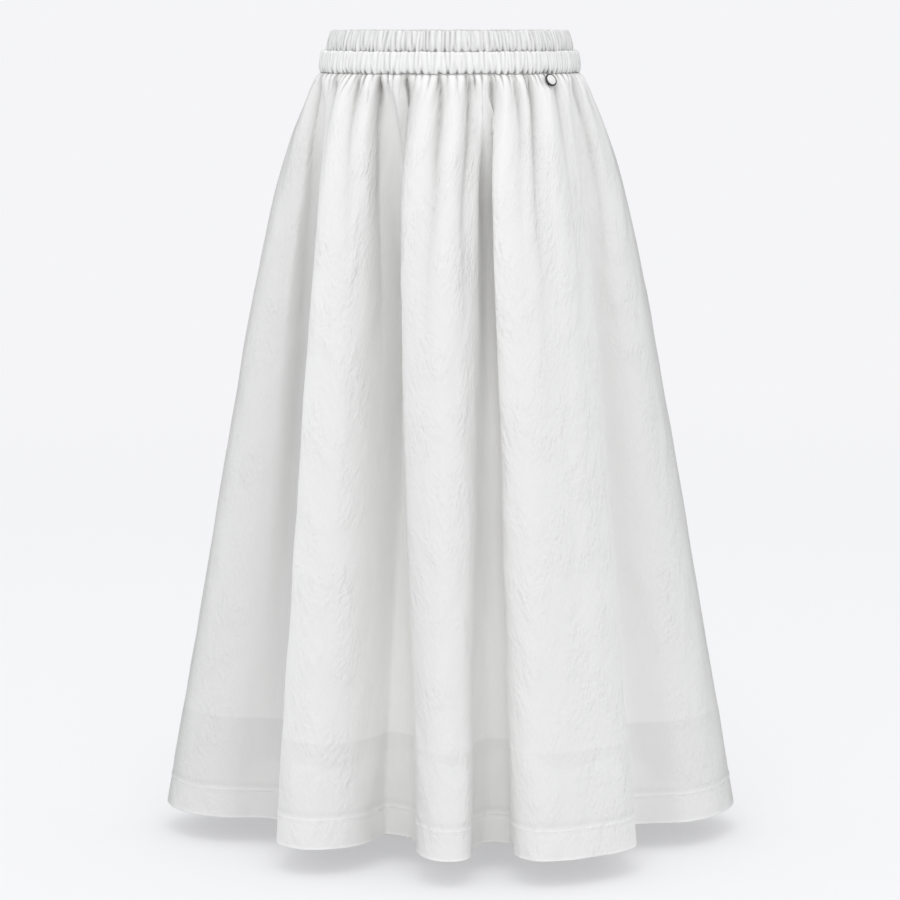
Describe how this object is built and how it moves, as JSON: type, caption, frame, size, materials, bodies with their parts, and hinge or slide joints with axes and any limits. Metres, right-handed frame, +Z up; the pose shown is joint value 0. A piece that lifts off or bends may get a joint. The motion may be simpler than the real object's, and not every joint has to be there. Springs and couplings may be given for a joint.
{
  "type": "a-line maxi skirt",
  "caption": "Long white A-line skirt filled out as worn: elastic gathered waistband, deep flutes, turned-up hem and a lining that shows through.",
  "frame": {"origin": "on the waist's middle line, halfway up the waistband, between its two elastic channels, where the wearer's waist holds the skirt", "axes": "+Z up, towards the waist opening; -Y to the front of the skirt, the side the picture shows; +X to the right in that view, the side the charm is on"},
  "size_m": [0.674, 0.5531, 0.9083],
  "materials": {
    "skirt_cloth": "white, lightly crinkled, semi-sheer cotton with a soft satin face",
    "lining_cloth": "plain white lining, smooth",
    "charm_metal": "dark polished metal",
    "charm_enamel": "glossy white enamel"
  },
  "bodies": {
    "root": {"waistband_upper": "skirt_cloth", "waistband_lower": "skirt_cloth", "front_panel": "skirt_cloth", "back_panel": "skirt_cloth", "lining_front": "lining_cloth", "lining_back": "lining_cloth", "charm_cup": "charm_metal", "charm_dome": "charm_enamel"}
  },
  "joints": []
}
